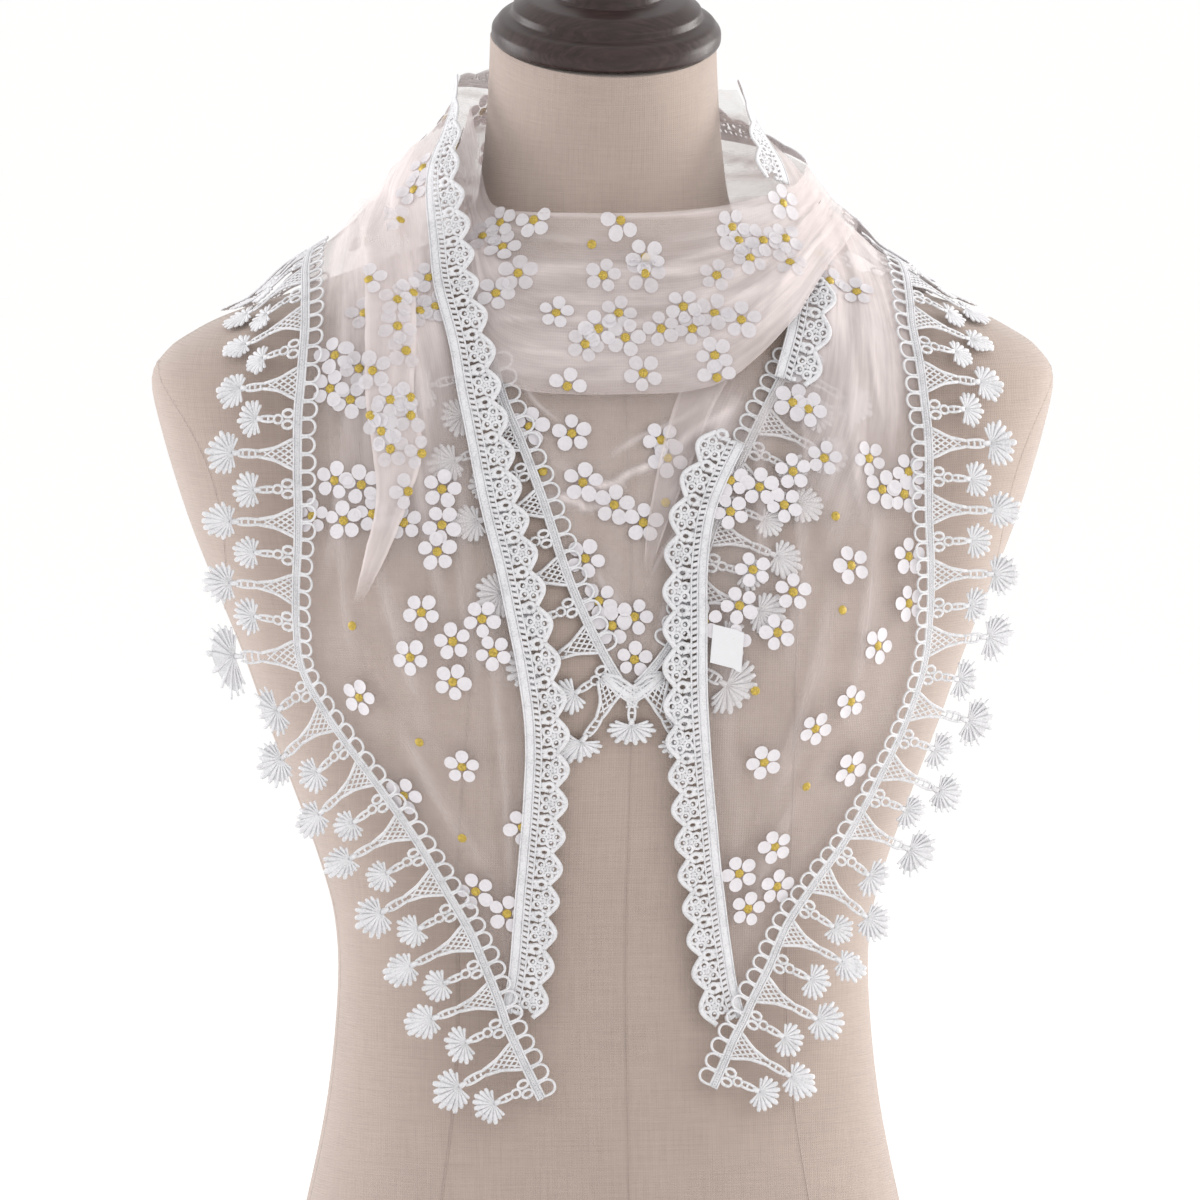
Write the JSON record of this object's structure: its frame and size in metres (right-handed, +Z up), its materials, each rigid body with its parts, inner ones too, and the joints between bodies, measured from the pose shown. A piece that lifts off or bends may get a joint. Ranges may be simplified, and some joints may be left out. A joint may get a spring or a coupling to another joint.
{
  "type": "lace shawl on a limbless dress form",
  "caption": "Triangular tulle shawl with fan-tasselled and scalloped lace edges, wound round the neck of a linen-covered dress form with a turned wooden cap.",
  "frame": {"origin": "centre of the form's flat underside, which is the mount base", "axes": "+Z up along the torso, X to the viewer's right, the form faces -Y"},
  "size_m": [0.408, 0.2517, 0.6905],
  "materials": {
    "linen": "coarse woven linen",
    "dark_wood": "dark stained, satin",
    "tulle": "sheer net with small flowers",
    "lace": "matt machine lace",
    "label_tape": "smooth woven tape"
  },
  "bodies": {
    "root": {"form_torso": "linen", "form_neck_cap": "dark_wood", "front_band": "tulle", "front_bib": "tulle", "left_end": "tulle", "right_end": "tulle", "back_over": "tulle", "back_under": "tulle", "left_pleat": "tulle", "right_pleat": "tulle", "left_tassel_lace": "lace", "right_tassel_lace": "lace", "bib_tassel_lace_left": "lace", "bib_tassel_lace_right": "lace", "back_tassel_lace_over": "lace", "back_tassel_lace_under": "lace", "left_scallop_lace": "lace", "right_scallop_lace": "lace", "right_scallop_turned": "lace", "right_scallop_nape": "lace", "nape_scallop_lace": "lace", "label": "label_tape"}
  },
  "joints": []
}
